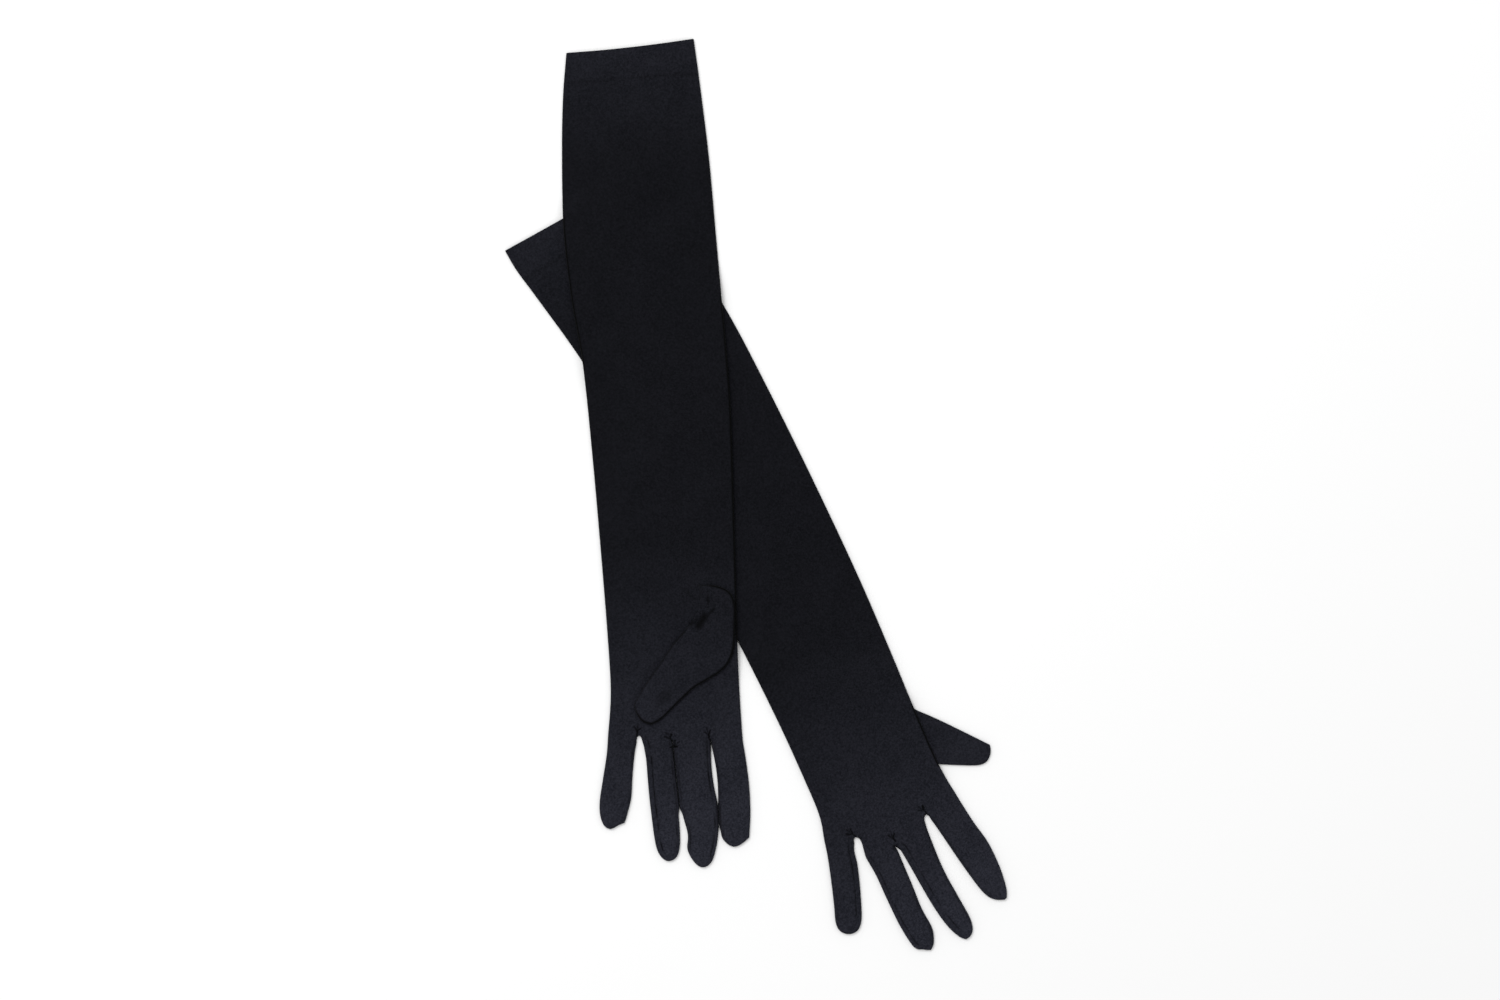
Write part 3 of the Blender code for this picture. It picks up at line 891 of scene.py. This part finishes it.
def left_thumb_heights(points):
    """The thumb folded flat over the palm, thin where it grows out of the palm and full at its tip."""
    flat = left.flat(points)
    palm = left_heights(points)[0]
    inward = nearest(left_thumb_edge, points)[0]
    full = thumb_fullness(flat)
    half = LEFT_THUMB_HALF * full * rounded(inward, LEFT_THUMB_ROUND)
    middle = palm + LEFT_THUMB_LIFT + LEFT_THUMB_HALF * full
    height, size, seed = LEFT_THUMB_WAVE
    relief = height * uneven(flat, size, seed) + crease(flat, *THUMB_FOLD)
    puff = LEFT_THUMB_PUFF * full * ease(inward / LEFT_THUMB_PUFF_IN)
    return middle + half + puff + relief * ease(inward / CALM_THUMB_EDGE), middle - half


def left_thumb_painted_shade(points):
    """Relief that sets the thumb's painted shade: its creases, and a painted shadow along its edge, darkest
    on the thumb's outer side.
    """
    flat = left.flat(points)
    inward = nearest(left_thumb_edge, points)[0]
    outer = ease(((flat - THUMB_GROWS) @ np.array(THUMB_OUTER) + OUTER_BEHIND) / OUTER_OVER)
    rim = np.exp(-((inward / (INNER_RIM_WIDTH + OUTER_RIM_WIDER * outer)) ** 2))
    rim *= INNER_RIM + (1 - INNER_RIM) * outer
    return root_creases(flat) + crease(flat, *THUMB_FOLD) - THUMB_RIM_PAINTED_SHADOW * thumb_fullness(flat) * rim


def right_thumb_heights(points):
    """The flat thumb that sticks out from under the palm."""
    inward = nearest(right_thumb_edge, points)[0]
    half = RIGHT_THUMB_HALF * rounded(inward, RIGHT_THUMB_ROUND)
    middle = TABLE_GAP + RIGHT_THUMB_HALF
    height, size, seed = RIGHT_THUMB_WAVE
    relief = height * uneven(right.flat(points), size, seed) * ease(inward / CALM_THUMB_EDGE)
    free = ease(outside(points, right.outline, right_edge) / RIGHT_THUMB_FREE)
    puff = RIGHT_THUMB_PUFF * ease(inward / RIGHT_THUMB_PUFF_IN) * free
    return middle + half + puff + relief * free, middle - half


def inner_points(glove, border, fine):
    """Rows along the outline, then grids, with the finest ones round each gather."""
    rings = RINGS if fine else LOWER_RINGS
    rows = rows_along(glove.outline, border, rings)
    low, high = glove.outline.min(0), glove.outline.max(0)
    grids = []
    for start, end, step in GRIDS:
        grid = even_grid(low, high, step if fine else LOWER_STEP)
        v = glove.flat(grid)[:, 1]
        grid = grid[(v > start) & (v <= end)]
        grid = grid[inside(grid, glove.outline)]
        grids.append(grid[nearest(border, grid)[0] > rings[-1] + GRID_APART * step])
    points = np.concatenate((rows, *grids))
    if not fine:
        return points
    flat = glove.flat(points)
    patches = []
    for centre, _ in PUCKERS[glove.side]:
        points = points[np.linalg.norm(flat - centre, axis=1) > PATCH_HOLE]
        flat = glove.flat(points)
        middle = glove.origin + centre[0] * glove.across + centre[1] * glove.along
        patch = even_grid(middle - PATCH_HOLE, middle + PATCH_HOLE, PATCH_STEP)
        patch = patch[np.linalg.norm(patch - middle, axis=1) < PATCH_RADIUS]
        patch = patch[inside(patch, glove.outline)]
        patches.append(patch[nearest(border, patch)[0] > PATCH_EDGE])
    return np.concatenate((points, *patches))


def thumb_points(outline, border, step):
    rows = rows_along(outline, border, THUMB_RINGS)
    grid = even_grid(outline.min(0), outline.max(0), step)
    grid = grid[inside(grid, outline)]
    return np.concatenate((rows, grid[nearest(border, grid)[0] > THUMB_RINGS[-1] + GRID_APART * step]))


def sections_of(glove, points):
    """Which section of the glove each point belongs to. A section begins just behind its hinge."""
    names = np.full(len(points), glove.sleeve_panels[-1], dtype=object)
    if glove is left:
        names[elbow.ahead(points) > -HINGE_MARGIN] = "upper"
    names[glove.wrist.ahead(points) > -HINGE_MARGIN] = "hand"
    owner = owner_of(glove, points)
    for number, finger in enumerate(FINGERS):
        names[(owner == number) & (glove.hinges[finger].ahead(points) > -HINGE_MARGIN)] = finger
    return names


def panels_of(glove, cloth):
    """The name of the panel each face belongs to, as the CAD model names it."""
    sections = sections_of(glove, cloth.centres)
    layers = np.where(cloth.upper, *glove.layers).astype(object)
    names = sections + "_" + layers
    on_finger = np.isin(sections, FINGERS)
    for part in ("seam", "fold"):
        beside = nearest(glove.trees[part], cloth.centres)[0] < SIDE_STRIP
        names[beside & ~on_finger] = (sections + f"_{part}")[beside & ~on_finger]
    for part, (width, _) in GROOVES[glove.side].items():
        finger, edge = part.split("_")
        # The strip ends at a row of points, so that its edge is even.
        lower_width = max(ring for ring in LOWER_RINGS if ring <= width)
        limit = np.where(cloth.upper, width, lower_width)
        beside = (sections == finger) & (nearest(glove.trees[part], cloth.centres)[0] < limit)
        names[beside] = f"{finger}_fourchette_{edge}"
    return names


def attach(glove, piece, section):
    """Bake a piece in place; a piece of a sleeve panel with no hinge is parented to its glove's arm body.
    """
    if section in FINGERS:
        glove.hinges[section].bend(piece, FINGER_REACH)
    elif section == "hand":
        glove.wrist.bend(piece, WRIST_REACH)
    elif section == "upper":
        elbow.bend(piece, WRIST_REACH)
    else:
        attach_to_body(piece, f"{glove.side}_arm")


def declare(glove, cloth, faces):
    """Works out the flat (u, v) corners of the faces; nothing is done with them."""
    corners = glove.flat(cloth.points[faces].reshape(-1, 3)[:, :2]).reshape(-1, 3, 2)


def add_glove(glove, heights, gusset):
    """Both layers of a glove, in panels, and its turned hem. The gusset goes into the palm's trim list,
    which is not used further.
    """
    border = closed_tree(glove.outline)
    cuff = range(glove.fold_corner + 1, len(glove.outline))
    upper_points = inner_points(glove, border, True)
    lower_points = inner_points(glove, border, False)
    cloth = Cloth(
        glove.outline, upper_points, lower_points, heights, cuff, lambda points: relief_and_painted_shade(glove, points)
    )
    flat = glove.flat(cloth.points[:, :2])
    panels = panels_of(glove, cloth)
    pieces = {}
    for panel in sorted(set(panels)):
        slot = "fourchette_cloth" if "fourchette" in panel else f"{glove.side}_cloth"
        name = f"{glove.side}_{panel}"
        piece = make_piece(f"{name}_knit", cloth, cloth.faces[panels == panel], flat, materials[slot])
        attach(glove, piece, panel.split("_")[0])
        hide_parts(name)
        pieces[panel] = piece
    hems = add_hems(glove, cloth, flat)
    for section in (*glove.sleeve_panels, "hand", *FINGERS):
        own = [panel for panel in pieces if panel.startswith(section)]
        strips = [pieces[panel] for panel in own if not panel.endswith(glove.layers)]
        for layer in glove.layers:
            panel = f"{section}_{layer}"
            trim = strips if layer == glove.layers[0] else []
            if section == glove.sleeve_panels[0]:
                trim = [*trim, hems[layer]]
            if panel == "hand_palm":
                trim = [*trim, *gusset]
            faces = cloth.faces[panels == panel]
            declare(glove, cloth, faces)


def add_hems(glove, cloth, flat):
    """The end of each layer turned in at the cuff, as a second thickness inside the sleeve."""
    inward = nearest(glove.edge, cloth.points[:, :2])[0]
    count = len(cloth.points)
    hems = {}
    for layer, is_upper, side in zip(glove.layers, (True, False), (-1, 1)):
        near_cuff = glove.flat(cloth.centres)[:, 1] < HEM_DEPTH
        faces = cloth.faces[near_cuff & (cloth.upper == is_upper)]
        hem = copy.copy(cloth)
        turned_in = cloth.points.copy()
        turned_in[:, 2] += side * CLOTH_THICK * rounded(inward, EDGE_ROUND)
        hem.points = np.concatenate((cloth.points, turned_in))
        hem.normals = np.concatenate((cloth.normals, -cloth.normals))
        hem.crease = np.concatenate((cloth.crease, np.zeros(count)))
        edges = {(a, b) for face in faces for a, b in zip(face, np.roll(face, -1))}
        free = [(a, b) for a, b in edges if (b, a) not in edges]
        rim = [(a, b) for a, b in free if on_cuff(glove, cloth, flat, a, b)]
        turned = [(face[0] + count, face[2] + count, face[1] + count) for face in faces]
        for a, b in rim:
            turned += [(a, a + count, b), (b, a + count, b + count)]
        name = f"{glove.side}_hem_{layer}"
        flats = np.concatenate((flat, flat))
        piece = make_piece(f"{name}_turned", hem, np.array(turned), flats, materials["turned_cloth"])
        attach(glove, piece, glove.sleeve_panels[0])
        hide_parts(name)
        hems[layer] = piece
    return hems


def on_cuff(glove, cloth, flat, a, b):
    """Whether the edge between two points is part of the cuff's open edge."""
    middle = (cloth.points[a, :2] + cloth.points[b, :2]) / 2
    from_line = nearest(glove.trees["cuff"], [middle])[0][0]
    return from_line < ON_CUFF and max(flat[a, 1], flat[b, 1]) < NEAR_CUFF


def add_thumb(glove, outline, heights, painted_shade_of, step, root_of, joint):
    """A thumb as a closed tube, in its upper and lower panel and the root behind its hinge."""
    border = closed_tree(outline)
    inner = thumb_points(outline, border, step)
    cloth = Cloth(outline, inner, inner, heights, (), painted_shade_of)
    flat = glove.flat(cloth.points[:, :2])
    panels = np.where(cloth.upper, "thumb_top", "thumb_under").astype(object)
    panels[root_of(cloth.centres)] = "thumb_root"
    slot = f"{glove.side}_cloth"
    for panel in sorted(set(panels)):
        name = f"{glove.side}_{panel}"
        piece = make_piece(f"{name}_knit", cloth, cloth.faces[panels == panel], flat, materials[slot])
        joint.bend(piece, THUMB_REACH)
        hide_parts(name)
    top_faces, under_faces = (cloth.faces[panels == panel] for panel in ("thumb_top", "thumb_under"))
    declare(glove, cloth, top_faces)
    declare(glove, cloth, under_faces)


def add_gusset():
    """The oval at the root of the left thumb."""
    inner = thumb_points(left_root_outline, left_root_edge, GUSSET_STEP)
    cloth = Cloth(
        left_root_outline,
        inner,
        inner,
        left_root_heights,
        (),
        # painted shade in the gathers round the root
        lambda points: root_creases(left.flat(points)),
    )
    flat = left.flat(cloth.points[:, :2])
    piece = make_piece("left_thumb_root_knit", cloth, cloth.faces, flat, materials["left_cloth"])
    attach(left, piece, "hand")
    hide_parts("left_thumb_root")
    return piece


add_glove(right, right_heights, [])
add_glove(left, left_heights, [add_gusset()])

right_thumb = Joint("right_thumb_fold")
left_thumb = Joint("left_thumb_fold")
add_thumb(
    right,
    right_thumb_outline,
    right_thumb_heights,
    lambda points: np.zeros(len(points)),
    RIGHT_THUMB_STEP,
    lambda centres: right_thumb.ahead(centres) < -HINGE_MARGIN,
    right_thumb,
)
add_thumb(
    left,
    left_thumb_outline,
    left_thumb_heights,
    left_thumb_painted_shade,
    LEFT_THUMB_STEP,
    lambda centres: np.zeros(len(centres), bool),
    left_thumb,
)


# -------- floor, light and camera

white = bpy.data.materials.new("floor_white")
white.use_nodes = True
white_shader = white.node_tree.nodes["Principled BSDF"]
white_shader.inputs["Base Color"].default_value = (FLOOR_GREY, FLOOR_GREY, FLOOR_GREY, 1)
white_shader.inputs["Roughness"].default_value = 0.9
white_shader.inputs["Specular IOR Level"].default_value = 0.0
bpy.ops.mesh.primitive_plane_add(size=FLOOR_SIZE, location=(0, 0, -FLOOR_DROP))
floor = bpy.context.object
floor.name = "floor"
floor.data.materials.append(white)

world = bpy.data.worlds.new("studio")
world.use_nodes = True
world.node_tree.nodes["Background"].inputs["Color"].default_value = (1, 1, 1, 1)
world.node_tree.nodes["Background"].inputs["Strength"].default_value = FILL
bpy.context.scene.world = world

key = bpy.data.lights.new("key", "AREA")
key.energy = KEY_WATTS
key.size = KEY_SIZE
key_light = bpy.data.objects.new("key", key)
key_light.location = KEY_PLACE
key_light.rotation_euler = (-Vector(KEY_PLACE)).to_track_quat("-Z", "Y").to_euler()
bpy.context.scene.collection.objects.link(key_light)

lens = bpy.data.cameras.new("camera")
lens.lens = 100
lens.sensor_width = 36
camera = bpy.data.objects.new("camera", lens)
camera.location = (*CAMERA_OVER, CAMERA_HEIGHT)
bpy.context.scene.collection.objects.link(camera)
bpy.context.scene.camera = camera
bpy.context.scene.view_settings.view_transform = "Standard"
